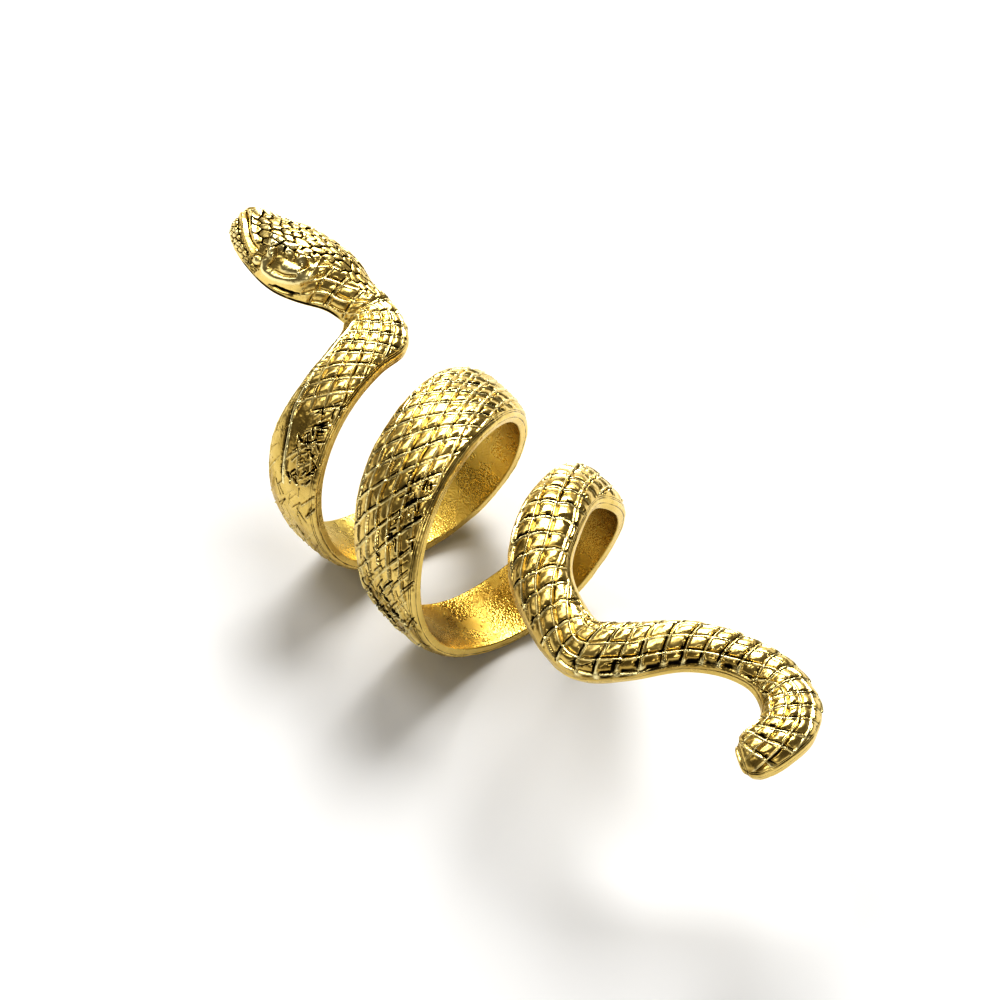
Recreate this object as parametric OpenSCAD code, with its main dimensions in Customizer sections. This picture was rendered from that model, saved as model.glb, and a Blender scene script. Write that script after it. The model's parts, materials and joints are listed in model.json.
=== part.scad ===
// Open wrap ring in the shape of a snake, cast in one piece.
// The finger lies along X, the snake winds round it, and the ring rests on its two back bands.

/* [Finger] */
// Diameter of the finger hole
finger_d = 17.5; // [16:0.1:20]

/* [Body] */
// Height of the plain side wall at each edge of the band
rim_h = 0.45; // [0.3:0.05:0.8]
// Fullness of the crown, where 1 is a half ellipse and less is squarer
crown_power = 0.8; // [0.6:0.05:1]
// Factor on every width of the snake
width_factor = 1; // [0.8:0.01:1.05]
// Factor on every height of the snake above the finger
height_factor = 1; // [0.9:0.01:1.2]

/* [Back bands] */
// Height of the bands at the back of the finger
back_h = 1.4; // [1.3:0.05:1.6]
// Depth of the two flats worn into the back bands, on which the ring rests
flat_depth = 0.35; // [0.2:0.05:0.5]

/* [Smoothness] */
// Steps between two rows of the route
route_steps = 4; // [3:1:5]
// Steps across the crown
crown_steps = 12; // [8:2:14]

/* [Hidden] */
finger_r = finger_d / 2;
// Distance from the middle of the finger hole down to the resting flats
rest_h = finger_r + back_h * height_factor - flat_depth;

// The route of the snake from its nose to the end of its tail, with the finger as the axis.
// ANGLE is in degrees round the finger, with 90 at the top and 270 at the resting side.
// ALONG is in mm along the finger, with 0 near the broadest band.
// WIDTH is in mm across the snake, and HEIGHT in mm from the finger to the crown.
ANGLE = 0;
ALONG = 1;
WIDTH = 2;
HEIGHT = 3;
route = [
    // nose and head
    [78, -28.4, 1.7, 1.3],
    [77.8, -27.8, 3.3, 2.3],
    [77.6, -25.0, 5.2, 3.2],
    [74.6, -22.0, 6.4, 3.8],
    [67.8, -19.0, 5.9, 3.4],
    // neck, which bends from along the finger to round it
    [66, -16.4, 4.4, 2.7],
    [66, -13.8, 4.6, 2.4],
    [74, -12.1, 5.6, 2.2],
    [90, -11.2, 4.75, 2.0],
    // first band, down the front and round the back
    [117, -10.45, 4.9, 1.8],
    [147, -9.7, 5.6, 1.6],
    [177, -8.6, 5.7, back_h],
    [217, -7.1, 5.7, back_h],
    [267, -6.5, 6.1, back_h],
    [327, -5.2, 6.6, 1.5],
    [387, -3.6, 6.3, 1.6],
    // second band, the broadest
    [427, -2.4, 7.1, 1.7],
    [477, -0.1, 7.5, 1.7],
    [527, 2.7, 7.2, 1.6],
    [567, 4.3, 6.8, 1.5],
    [607, 5.2, 6.1, back_h],
    [647, 6.0, 6.2, back_h],
    [697, 7.3, 5.8, back_h],
    [747, 9.2, 5.5, 1.6],
    // third band, which turns into the tail
    [777, 10.0, 4.8, 1.9],
    [807, 12.2, 5.4, 2.1],
    [830, 15.1, 5.3, 2.3],
    [841.5, 18.9, 5.1, 2.4],
    // tail, which waves along the finger
    [844.5, 22.8, 5.2, 2.4],
    [829.8, 26.2, 4.8, 2.4],
    [806.6, 29.4, 4.4, 2.4],
    [791, 32.6, 4.3, 2.4],
    [784, 35.8, 4.7, 2.4],
    [789, 38.9, 5.0, 2.4],
    [803, 41.0, 4.8, 2.4],
    [816, 41.45, 4.6, 2.3],
    [824, 41.2, 4.5, 2.2],
    [829, 40.9, 3.9, 1.9],
    [832, 40.65, 2.5, 1.3],
];

// Place along the finger of the middle of the ring's whole length
middle_x = 7.64;
// Length of the cylinder that cuts the finger hole, longer than the ring
hole_l = 90;
// Number of short lengths of the finger hole that are wider, and by how much
wider_lengths = 15;
wider_by = 0.01;
// How far the sweep is sunk below the wall of the finger hole, which is cut afterwards
sunk = 0.3;
// Radius, halfway up the body, at which the direction of the route is worked out
arc_r = finger_r + 1;
// Degrees of arc for each mm at a radius of 1 mm
deg = 180 / PI;
// Size of the block below the resting flats
block = [60, 30, 5];

// Point at t from 0 to 1 between b and c on a smooth curve through a, b, c and d
function curve(a, b, c, d, t) =
    (2 * b + (c - a) * t + (2 * a - 5 * b + 4 * c - d) * t ^ 2 + (3 * b - a - 3 * c + d) * t ^ 3) / 2;

// Row i of a table, which goes on in a straight line past both ends
function row(table, i) =
    i < 0 ? 2 * table[0] - table[1]
    : i >= len(table) ? 2 * table[len(table) - 1] - table[len(table) - 2]
    : table[i];

last_row = len(route) - 1;
stations = [
    for (i = [0:last_row - 1], k = [0:route_steps - 1])
        curve(row(route, i - 1), route[i], route[i + 1], row(route, i + 2), k / route_steps),
    route[last_row],
];

// Place of a station on the finger's surface rolled out flat, as [along, arc]
function flat(s) = [s[ALONG], s[ANGLE] / deg * arc_r];

// Direction across the snake at station i, on the surface rolled out flat
function across(i) =
    let (step = flat(row(stations, i + 1)) - flat(row(stations, i - 1)))
    [step[1], -step[0]] / norm(step);

// The D-shaped section as [place across from -1 to 1, height from 0 at the rim to 1 at the crown].
// The first and last points are the two foot points below the wall of the finger hole.
FOOT = -1;
section = [
    [1, FOOT],
    for (k = [0:crown_steps])
        let (a = 180 * k / crown_steps)
        [sign(cos(a)) * abs(cos(a)) ^ crown_power, sin(a) ^ crown_power],
    [-1, FOOT],
];
section_points = len(section);

// Radius of a section point above the middle of the finger
function radius(s, level) =
    level == FOOT ? finger_r - sunk
    : finger_r + rim_h + max(s[HEIGHT] * height_factor - rim_h, 0.1) * level;

// A section point wrapped back round the finger
function wrapped(s, side, p) =
    let (
        r = radius(s, p[1]),
        reach = p[0] * s[WIDTH] * width_factor / 2,
        a = s[ANGLE] + reach * side[1] / r * deg
    )
    [s[ALONG] + reach * side[0], r * cos(a), r * sin(a)];

skin_points = [
    for (i = [0:len(stations) - 1])
        let (side = across(i))
        for (p = section) wrapped(stations[i], side, p),
];

// Number of point j of ring i in the list of points
function at(i, j) = i * section_points + j % section_points;

last_ring = len(stations) - 1;
skin_faces = [
    for (i = [0:last_ring - 1], j = [0:section_points - 1])
        for (face = [[at(i, j), at(i + 1, j + 1), at(i, j + 1)], [at(i, j), at(i + 1, j), at(i + 1, j + 1)]])
            face,
    for (j = [1:section_points - 2]) [at(0, 0), at(0, j), at(0, j + 1)],
    for (j = [1:section_points - 2]) [at(last_ring, 0), at(last_ring, j + 1), at(last_ring, j)],
];

// The whole snake as one sweep along its route
module snake_body() {
    polyhedron(points = skin_points, faces = skin_faces, convexity = 8);
}

// The round way that the finger takes. Its wall on the snake is a winding strip, and the short
// lengths that are a hair wider divide that strip into short faces.
module finger_hole() {
    length = hole_l / wider_lengths;
    translate([middle_x, 0, 0])
        rotate([0, 90, 0]) {
            cylinder(r = finger_r, h = hole_l, center = true, $fn = 180);
            for (k = [0:wider_lengths - 1])
                translate([0, 0, (k + 0.25) * length - hole_l / 2])
                    cylinder(r = finger_r + wider_by, h = length / 2, $fn = 180);
        }
}

// The block that leaves two flats under the back bands, on which the ring rests
module below_the_flats() {
    translate([-block[0] / 2, -block[1] / 2, -rest_h - block[2]])
        cube(block);
}

module snake_ring() {
    color("gold")
        translate([-middle_x, 0, rest_h])
            difference() {
                snake_body();
                finger_hole();
                below_the_flats();
            }
}

snake_ring();
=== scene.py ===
"""The looks of the snake ring: its scaled skin, its head and its gold finish."""
import json
import logging
import math
from dataclasses import dataclass, field, replace
from enum import Enum

import bpy
import numpy as np
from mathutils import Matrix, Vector


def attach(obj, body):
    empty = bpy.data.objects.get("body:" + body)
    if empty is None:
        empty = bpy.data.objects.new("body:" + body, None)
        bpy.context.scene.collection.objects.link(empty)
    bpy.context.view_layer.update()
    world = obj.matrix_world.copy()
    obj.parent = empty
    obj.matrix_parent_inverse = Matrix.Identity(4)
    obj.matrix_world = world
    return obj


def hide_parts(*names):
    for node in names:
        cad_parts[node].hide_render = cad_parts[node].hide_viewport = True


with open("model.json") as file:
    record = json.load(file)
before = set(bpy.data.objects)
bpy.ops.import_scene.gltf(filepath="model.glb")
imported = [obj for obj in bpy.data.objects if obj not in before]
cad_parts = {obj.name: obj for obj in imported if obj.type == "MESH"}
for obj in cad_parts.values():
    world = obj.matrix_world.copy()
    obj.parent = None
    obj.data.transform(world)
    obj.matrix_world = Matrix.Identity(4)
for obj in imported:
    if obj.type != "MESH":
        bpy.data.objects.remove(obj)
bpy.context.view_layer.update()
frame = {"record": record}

Array = np.ndarray
Socket = bpy.types.NodeSocket
Pair = tuple[float, float]
Triple = tuple[float, float, float]

MM = 0.001
TINY = 1e-12
# columns of the route: degrees round the finger, and mm along it, across the snake and above the finger
ANGLE, ALONG, WIDTH, HEIGHT = range(4)
# size of the tables of random values, one for each scale
CELL_TABLE = (257, 61)
# samples from one point of a drawn line to the next
LINE_STEPS = 6
LOG = logging.getLogger("snake_ring")


class Side(Enum):
    """The two sides of the snake, seen along its route from the nose."""

    LEFT = -1
    RIGHT = 1


def smooth_curve(rows: Array, steps: int) -> Array:
    """Sample a smooth curve through the rows of a table.

    Args:
        rows: One row for each point that the curve passes through.
        steps: Number of samples from one row to the next.

    Returns:
        The sampled rows.
    """
    ends = np.vstack([2 * rows[0] - rows[1], rows, 2 * rows[-1] - rows[-2]])
    t = (np.arange(steps) / steps)[:, None]
    parts = []
    for a, b, c, d in zip(ends, ends[1:], ends[2:], ends[3:]):
        cubic = (2 * a - 5 * b + 4 * c - d) * t**2 + (3 * b - a - 3 * c + d) * t**3
        parts.append((2 * b + (c - a) * t + cubic) / 2)
    return np.vstack([*parts, rows[-1:]])


def soft_step(low: float, high: float, x: Array) -> Array:
    """Return 0 below low and 1 above high, with a smooth rise between them."""
    t = np.clip((x - low) / (high - low), 0, 1)
    return t * t * (3 - 2 * t)


def bell(x: Array, width: float) -> Array:
    """Return a soft bump, 1 at zero and nearly nothing past twice its width."""
    return np.exp(-((x / width) ** 2))


@dataclass(frozen=True)
class Span:
    """A stretch of places with soft ends, in mm: where it rises from 0 to 1 and where it falls again."""

    rise: Pair
    fall: Pair

    def at(self, x: Array) -> Array:
        """Return 1 inside the stretch and 0 outside it."""
        return soft_step(*self.rise, x) * (1 - soft_step(*self.fall, x))


@dataclass(frozen=True)
class Profile:
    """A value that changes along the snake, as (mm from the nose, value) with straight lines between."""

    knots: tuple[Pair, ...]

    def at(self, u: Array) -> Array:
        """Return the value at each length along the snake."""
        return np.interp(u, *np.transpose(self.knots))


@dataclass(frozen=True)
class Noise:
    """Smooth seeded noise over the rolled-out skin, from -1 to 1.

    The origin counts the cells before zero, so that no index is negative, and spare those past the end.
    """

    seed: int
    size: float
    origin: tuple[int, int] = (20, 40)
    spare: int = 3

    def at(self, u: Array, v: Array) -> Array:
        """Sample the noise.

        Args:
            u: Length along the snake in mm.
            v: Place across the snake in mm.

        Returns:
            A value for each place.
        """
        x = u / self.size + self.origin[0]
        y = v / self.size + self.origin[1]
        shape = (int(x.max()) + self.spare, int(y.max()) + self.spare)
        grid = np.random.default_rng(self.seed).uniform(-1, 1, shape)
        i = np.floor(x).astype(int)
        j = np.floor(y).astype(int)
        fx = soft_step(0, 1, x - i)
        fy = soft_step(0, 1, y - j)
        low = grid[i, j] * (1 - fx) + grid[i + 1, j] * fx
        high = grid[i, j + 1] * (1 - fx) + grid[i + 1, j + 1] * fx
        return low * (1 - fy) + high * fy


def cell_value(i: Array, j: Array, seed: int) -> Array:
    """Return a fixed random value from 0 to 1 for each scale, from its two numbers."""
    table = np.random.default_rng(seed).uniform(0, 1, CELL_TABLE)
    return table[np.mod(i, CELL_TABLE[0]).astype(int), np.mod(j, CELL_TABLE[1]).astype(int)]


@dataclass(frozen=True)
class Vary:
    """A strength that differs from scale to scale: the least, how much more at most, and the seed."""

    least: float
    more: float
    seed: int

    def at(self, i: Array, j: Array) -> Array:
        """Return the strength for each scale, from its two numbers."""
        return self.least + self.more * cell_value(i, j, self.seed)


@dataclass
class Route:
    """The way that the snake takes round the finger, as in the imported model."""

    finger_r: float
    rest_h: float
    middle_x: float = 7.64
    arc_r: float = 9.75
    steps: int = 60
    rows: tuple[tuple[float, ...], ...] = (
        (78, -28.4, 1.7, 1.3), (77.8, -27.8, 3.3, 2.3), (77.6, -25.0, 5.2, 3.2), (74.6, -22.0, 6.4, 3.8),
        (67.8, -19.0, 5.9, 3.4), (66, -16.4, 4.4, 2.7), (66, -13.8, 4.6, 2.4), (74, -12.1, 5.6, 2.2),
        (90, -11.2, 4.75, 2.0), (117, -10.45, 4.9, 1.8), (147, -9.7, 5.6, 1.6), (177, -8.6, 5.7, 1.4),
        (217, -7.1, 5.7, 1.4), (267, -6.5, 6.1, 1.4), (327, -5.2, 6.6, 1.5), (387, -3.6, 6.3, 1.6),
        (427, -2.4, 7.1, 1.7), (477, -0.1, 7.5, 1.7), (527, 2.7, 7.2, 1.6), (567, 4.3, 6.8, 1.5),
        (607, 5.2, 6.1, 1.4), (647, 6.0, 6.2, 1.4), (697, 7.3, 5.8, 1.4), (747, 9.2, 5.5, 1.6),
        (777, 10.0, 4.8, 1.9), (807, 12.2, 5.4, 2.1), (830, 15.1, 5.3, 2.3), (841.5, 18.9, 5.1, 2.4),
        (844.5, 22.8, 5.2, 2.4), (829.8, 26.2, 4.8, 2.4), (806.6, 29.4, 4.4, 2.4), (791, 32.6, 4.3, 2.4),
        (784, 35.8, 4.7, 2.4), (789, 38.9, 5.0, 2.4), (803, 41.0, 4.8, 2.4), (816, 41.45, 4.6, 2.3),
        (824, 41.2, 4.5, 2.2), (829, 40.9, 3.9, 1.9), (832, 40.65, 2.5, 1.3),
    )
    length: Array = field(init=False)
    line: Array = field(init=False)
    heading: Array = field(init=False)

    def __post_init__(self) -> None:
        """Work out the length along the route and the heading at each fine sample."""
        self.line = smooth_curve(np.array(self.rows), self.steps)
        rolled = np.column_stack([self.line[:, ALONG], np.radians(self.line[:, ANGLE]) * self.arc_r])
        gaps = np.linalg.norm(np.diff(rolled, axis=0), axis=1)
        self.length = np.concatenate([[0], np.cumsum(gaps)])
        heading = np.gradient(rolled, axis=0)
        self.heading = heading / np.linalg.norm(heading, axis=1)[:, None]

    @property
    def total(self) -> float:
        """Length of the whole route in mm."""
        return float(self.length[-1])

    def at(self, u: Array) -> tuple[Array, Array]:
        """Look up the route.

        Args:
            u: Lengths along the route in mm.

        Returns:
            The angle, place, width and height at each length, and the heading there.
        """
        line = np.column_stack([np.interp(u, self.length, column) for column in self.line.T])
        heading = np.column_stack([np.interp(u, self.length, column) for column in self.heading.T])
        return line, heading / np.linalg.norm(heading, axis=1)[:, None]


@dataclass
class Skin:
    """The bare D-shaped body as a fine net of points, row by row along the route."""

    route: Route
    rim_h: float = 0.45
    crown_power: float = 0.8
    least_crown: float = 0.1
    foot_r: float = 0.14
    section_samples: int = 361
    crown_cols: int = 148
    wall_cols: int = 6
    foot_cols: int = 4
    inner_cols: int = 10
    cap_rows: int = 7
    cap_length: float = 0.3
    cap_power: float = 0.8
    cap_level: float = 0.45
    inner_past: float = 1.0
    # the zones of rows along the snake, each with the length where it ends and the gap in it, in mm
    spacings: tuple[Pair, ...] = (
        (36, 0.056), (46, 0.08), (74, 0.2), (107, 0.056), (132, 0.2), (math.inf, 0.056),
    )
    u: Array = field(init=False)
    across: Array = field(init=False)
    edge: Array = field(init=False)
    points: Array = field(init=False)
    normals: Array = field(init=False)
    outside: Array = field(init=False)
    shrink: Array = field(init=False)

    @classmethod
    def outer_cols(cls) -> int:
        """Return the number of columns over the crown and down both walls."""
        return cls.crown_cols + 2 * (cls.wall_cols + cls.foot_cols)

    def __post_init__(self) -> None:
        """Lay out the rows and columns and work out every point."""
        self._lay_rows()
        self._lay_net()

    def _lay_rows(self) -> None:
        """Space the rows closely where the face of the ring shows, and wider at its back."""
        parts = []
        start = 0.0
        for end, step in self.spacings:
            end = min(end, self.route.total)
            parts.append(np.linspace(start, end, int((end - start) / step), endpoint=False))
            start = end
        body = np.concatenate([*parts, [self.route.total]])
        turn = np.linspace(0, math.pi / 2, self.cap_rows + 2)[1:-1]
        out = self.cap_length * np.sin(turn)
        small = np.cos(turn) ** self.cap_power
        self.u = np.concatenate([-out[::-1], body, self.route.total + out])
        self.shrink = np.concatenate([small[::-1], np.ones(len(body)), small])

    def _section(self, width: float, height: float) -> tuple[Array, Array, Array, float]:
        """Lay out one D-shaped section.

        Args:
            width: Width of the section in mm.
            height: Height of its crown above the finger in mm.

        Returns:
            Places across, heights, arcs from the crown's middle, and the crown's half arc, in mm.
        """
        half = width / 2
        a = np.linspace(math.pi, 0, self.section_samples)
        s = np.sign(np.cos(a)) * np.abs(np.cos(a)) ** self.crown_power * half
        crown = max(height - self.rim_h, self.least_crown)
        y = self.rim_h + np.abs(np.sin(a)) ** self.crown_power * crown
        arc = np.concatenate([[0], np.cumsum(np.hypot(np.diff(s), np.diff(y)))])
        even = np.linspace(0, arc[-1], self.crown_cols)
        edge = arc[-1] / 2
        down = np.linspace(self.rim_h, self.foot_r, self.wall_cols + 1)[1:]
        turn = np.linspace(0, math.pi / 2, self.foot_cols + 1)[1:]
        foot_s = half - self.foot_r + self.foot_r * np.cos(turn)
        foot_y = self.foot_r - self.foot_r * np.sin(turn)
        foot_v = edge + self.rim_h - self.foot_r + self.foot_r * turn
        wall_s = np.concatenate([np.full(len(down), half), foot_s])
        wall_y = np.concatenate([down, foot_y])
        wall_v = np.concatenate([edge + self.rim_h - down, foot_v])
        inner_s = np.linspace(half - self.foot_r, self.foot_r - half, self.inner_cols + 2)[1:-1]
        inner_v = np.full(self.inner_cols, edge + self.rim_h + self.inner_past)
        return (
            np.concatenate([-wall_s[::-1], np.interp(even, arc, s), wall_s, inner_s]),
            np.concatenate([wall_y[::-1], np.interp(even, arc, y), wall_y, np.zeros(self.inner_cols)]),
            np.concatenate([-wall_v[::-1], even - edge, wall_v, inner_v]),
            edge,
        )

    def _lay_net(self) -> None:
        """Work out the points and normals of the bare body."""
        held = np.clip(self.u, 0, self.route.total)
        beyond = self.u - held
        line, heading = self.route.at(held)
        sections = [self._section(row[WIDTH], row[HEIGHT]) for row in line]
        s = np.array([x[0] for x in sections])
        y = np.array([x[1] for x in sections])
        self.across = np.array([x[2] for x in sections])
        self.edge = np.array([x[3] for x in sections])[:, None]
        middle = line[:, HEIGHT, None] * self.cap_level
        shrink = self.shrink[:, None]
        s = s * shrink
        y = middle + (y - middle) * shrink
        r = self.route.finger_r + y
        out = beyond[:, None]
        x = line[:, ALONG, None] + out * heading[:, :1] + s * heading[:, 1:] - self.route.middle_x
        turned = out * heading[:, 1:] / self.route.arc_r - s * heading[:, :1] / r
        a = np.radians(line[:, ANGLE, None]) + turned
        z = np.maximum(r * np.sin(a) + self.route.rest_h, 0)
        self.points = np.stack([x, r * np.cos(a), z], axis=2)
        self.normals = net_normals(self.points)
        self.outside = (np.abs(self.across) <= self.edge + self.rim_h - self.foot_r) * 1.0


def net_normals(points: Array) -> Array:
    """Work out the outward normals of a net of points that closes on itself across.

    Args:
        points: Points as rows along the snake and columns round it.

    Returns:
        A unit normal for each point.
    """
    along = np.gradient(points, axis=0)
    across = np.roll(points, -1, axis=1) - np.roll(points, 1, axis=1)
    normal = np.cross(along, across)
    size = np.linalg.norm(normal, axis=2, keepdims=True)
    return normal / np.maximum(size, TINY)


@dataclass(frozen=True)
class Patch:
    """A soft oval place on the skin, in mm, such as one that is worn smooth."""

    u: float
    v: float
    half_length: float
    half_width: float
    strength: float
    soft: Pair = (0.6, 1.25)

    def keep(self, u: Array, v: Array) -> Array:
        """Return 1 outside the patch and less inside it."""
        gap = np.hypot((u - self.u) / self.half_length, (v - self.v) / self.half_width)
        return 1 - self.strength * (1 - soft_step(*self.soft, gap))


def outside_all(patches: tuple[Patch, ...], u: Array, v: Array) -> Array:
    """Return 1 outside a group of patches and less inside them."""
    return np.prod([patch.keep(u, v) for patch in patches], axis=0)


@dataclass
class Coat:
    """The relief and finish over the net of the skin, to which each part of the ring adds its own.

    u and v are the places along and across the snake, edge is half the arc of the crown, and relief is
    the height above the bare body, all in mm. The last two, from 0 to 1, are how much painted shade a
    place gets in grooves, recesses and dark lines, and how much painted highlight it gets on its high
    places.
    """

    u: Array
    v: Array
    edge: Array
    relief: Array
    dark: Array
    painted_highlight: Array


@dataclass(frozen=True)
class Cells:
    """Where each place lies among the crossing lines of the scales.

    cross and row count the lines of the two families, and the gaps are in mm to the nearest of them.
    """

    cross: Array
    row: Array
    cross_gap: Array
    row_gap: Array


@dataclass
class Scales:
    """The two families of lines that cut the skin into scales, with painted shade in their grooves and
    painted highlights on their threads.
    """

    thread_w: float = 0.086
    thread_h: float = 0.19
    groove_w: float = 0.071
    groove_d: float = 0.14
    row_groove: float = 0.85
    # from the nearest line to the middle of its thread on one side and of its groove on the other
    aside: float = 0.105
    cross_sharp: Vary = Vary(0.7, 0.6, 7)
    row_sharp: Vary = Vary(0.45, 0.7, 10)
    pillow_h: float = 0.15
    pillow_power: float = 0.75
    lively: Vary = Vary(0.6, 0.8, 12)
    cross_tilt: float = 0.13
    row_tilt: float = 0.05
    facet: float = 0.20
    facet_gap: float = 0.1
    cross_facet: Vary = Vary(-0.5, 1.0, 13)
    row_facet: Vary = Vary(-0.5, 1.0, 14)
    sunk: float = 0.12
    wave: float = 0.10
    cross_wave: Noise = Noise(7, 2.6)
    row_wave: Noise = Noise(8, 2.2)
    arch: float = 0.07
    arched: Span = Span((137.0, 139.0), (154.0, 157.0))
    # chips cut beside the cross lines, with painted shade in them, fainter outside the accents, the
    # patches where the painted shade is strongest
    chip_w: float = 0.17
    chip_aside: float = 0.204
    chip_noise: Noise = Noise(16, 0.5)
    chip_from: Pair = (0.0, 0.3)
    plain_chip: float = 0.45
    # the lowest row of scales on the tail, with wide threads and painted shade over the scales
    low_u: Span = Span((157.5, 159.0), (171.0, 173.0))
    low_v: Span = Span((2.0, 2.5), (3.0, 3.3))
    low_thread: float = 2.0
    low_from: Pair = (0.15, 0.35)
    low_shade: Vary = Vary(0.65, 0.35, 15)
    soft_margin: float = 0.3
    # painted shade: its share in the row grooves and chips outside the accents; the cross grooves get it
    # in full
    plain_shade: float = 0.92
    accent_groove: float = 0.3
    quiet: tuple[Patch, ...] = (Patch(11.3, -2.8, 3.4, 1.7, 0.35),)
    accents: tuple[Patch, ...] = (
        Patch(10.0, -2.6, 3.0, 0.9, 0.2), Patch(76.5, -0.5, 2.6, 3.5, 0.8),
        Patch(90.3, 2.1, 4.4, 1.5, 1.0), Patch(141.0, 0.0, 4.5, 3.5, 0.5),
        Patch(151.0, -2.0, 7.0, 1.2, 0.9), Patch(165.0, -1.9, 8.0, 1.6, 1.0),
        Patch(184.0, 0.2, 1.5, 1.5, 0.8),
    )
    # how the lines run along the snake, and how deep and how far from the edges the scales are cut
    cross_pitch: Profile = Profile((
        (13.5, 1.5), (16, 1.1), (20, 1.2), (24, 1.6), (28, 1.7), (38, 1.9), (76, 1.9), (82, 2), (92, 2.3),
        (97, 2.3), (104, 2.2), (112, 2), (132, 1.8), (139, 1.7), (147, 1.7), (149, 1.75), (153, 1.75),
        (157, 1.65), (170, 1.65), (176, 1.6), (181, 1.5), (185.6, 1.3),
    ))
    cross_lean: Profile = Profile((
        (9.2, 0.1), (13.5, 0), (16, -0.3), (24, -0.9), (28, -0.9), (33, -1), (46, -1), (70, -1.1),
        (97, -1.1), (104, -1), (112, -0.8), (132, -0.4), (139, -0.25), (149, -0.25), (153, -0.1),
        (157, 0.2), (160, 0.5), (170, 0.45), (176, -0.2), (181, -0.5), (185.6, -0.4),
    ))
    cross_curl: Profile = Profile((
        (132, 0), (139, 0.06), (153, 0.06), (157, 0.09), (160, 0.06), (170, 0.06), (176, 0.05), (181, 0),
    ))
    row_pitch: Profile = Profile((
        (13.5, 1.15), (16, 1), (20, 1.1), (24, 1.3), (46, 1.3), (70, 1.2), (76, 1.15), (82, 1.15),
        (92, 1.2), (104, 1.2), (112, 1.3), (132, 1.5), (139, 1.7), (147, 1.55), (149, 1.45), (157, 1.35),
        (160, 1.4), (170, 1.4), (176, 1.3), (181, 1.25), (185.6, 1.3),
    ))
    row_drift: Profile = Profile((
        (13.5, 0.6), (16, 0.5), (28, 0.2), (112, 0.2), (132, 0.3), (139, 0.3), (147, 0.15), (149, -0.2),
        (153, -0.3), (157, -0.3), (160, -0.05), (170, -0.05), (176, 0.4), (181, 0.3), (185.6, 0.2),
    ))
    depth: Profile = Profile((
        (0, 0), (8.2, 0.1), (9.2, 1), (20, 1), (24, 0.9), (28, 0.6), (33, 0.2), (38, 0.3), (46, 0.7),
        (70, 0.8), (76, 1), (92, 1), (95, 0.85), (97, 0.6), (104, 0.8), (112, 0.6), (132, 0.8), (139, 1),
        (181, 1), (185.6, 0.9), (186.3, 0),
    ))
    left_margin: Profile = Profile((
        (0, 0.3), (8.2, -0.3), (9.2, -0.3), (13.5, -0.1), (16, 1.2), (20, 1.5), (24, 1.2), (28, 1),
        (33, 0.7), (38, 0.6), (76, 0.6), (82, 0.5), (92, 0.5), (95, 0.6), (97, 0.6), (104, 0.7),
        (132, 0.7), (139, 0.6), (147, 0.6), (149, 1), (153, 1.7), (157, 1.5), (160, 0.5), (170, 0.4),
        (176, 0.4), (181, 0.7), (185.6, 0.8), (186.3, 0.9),
    ))
    right_margin: Profile = Profile((
        (0, 0.3), (8.2, -0.3), (9.2, -0.3), (13.5, 0), (16, 0.7), (70, 0.7), (76, 0.8), (149, 0.8),
        (157, 0.6), (160, 0.5), (176, 0.5), (181, 0.6), (185.6, 0.7), (186.3, 0.8),
    ))
    # places, in mm along and across the snake, that a line of each family passes through
    cross_anchors: tuple[Pair, ...] = (
        (11.6, 0.0), (22.0, 0.0), (78.0, 0.0), (87.2, 0.0), (91.6, 0.0), (145.2, 0.0), (152.0, 0.0),
        (160.6, 0.0), (169.0, 0.0), (180.0, 0.5), (184.0, 0.3),
    )
    row_anchors: tuple[Pair, ...] = (
        (9.8, -2.5), (22.0, 0.0), (84.5, 0.8), (91.0, -1.9), (146.0, 0.7), (152.0, 0.0), (160.6, -1.2),
        (169.0, -1.7), (178.5, -2.4), (184.0, 0.3),
    )

    @staticmethod
    def _held(coat: Coat, count: Array, anchors: tuple[Pair, ...]) -> Array:
        """Shift a family of lines a little so that a line passes through each anchor.

        Args:
            coat: The net of the skin.
            count: The family's count of lines at each place.
            anchors: The places that a line has to pass through.

        Returns:
            The shifted count of lines.
        """
        outer = slice(0, Skin.outer_cols())
        shifts = [0.0]
        for u, v in anchors:
            i = int(np.argmin(np.abs(coat.u[:, 0] - u)))
            here = np.interp(v, coat.v[i, outer], count[i, outer])
            shifts.append(shifts[-1] + (-here - shifts[-1] + 0.5) % 1 - 0.5)
        return count + np.interp(coat.u, [u for u, _ in anchors], shifts[1:])

    def _cells(self, coat: Coat) -> Cells:
        """Work out where each place lies among the two families of lines.

        Args:
            coat: The net of the skin.

        Returns:
            The counts of lines and the gaps to the nearest ones.
        """
        u = coat.u
        v = coat.v
        cross_pitch = self.cross_pitch.at(u)
        lean = self.cross_lean.at(u)
        row_pitch = self.row_pitch.at(u)
        drift = self.row_drift.at(u)
        step = np.diff(u[:, 0], prepend=u[0, 0])[:, None]
        row = v / row_pitch - np.cumsum(drift[:, :1] * step / row_pitch[:, :1], axis=0)
        row = self._held(coat, row, self.row_anchors) + self.wave * self.row_wave.at(u, v)
        bent = lean * v + self.cross_curl.at(u) * v**2
        cross = np.cumsum(step / cross_pitch[:, :1], axis=0) - bent / cross_pitch
        cross = self._held(coat, cross, self.cross_anchors) + self.wave * self.cross_wave.at(u, v)
        cross += self.arch * self.arched.at(u) * np.sin(np.pi * (row - np.floor(row)))
        cross_gap = (cross - np.round(cross)) * cross_pitch / np.sqrt(1 + lean**2)
        row_gap = (row - np.round(row)) * row_pitch / np.sqrt(1 + drift**2)
        return Cells(cross, row, cross_gap, row_gap)

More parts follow.
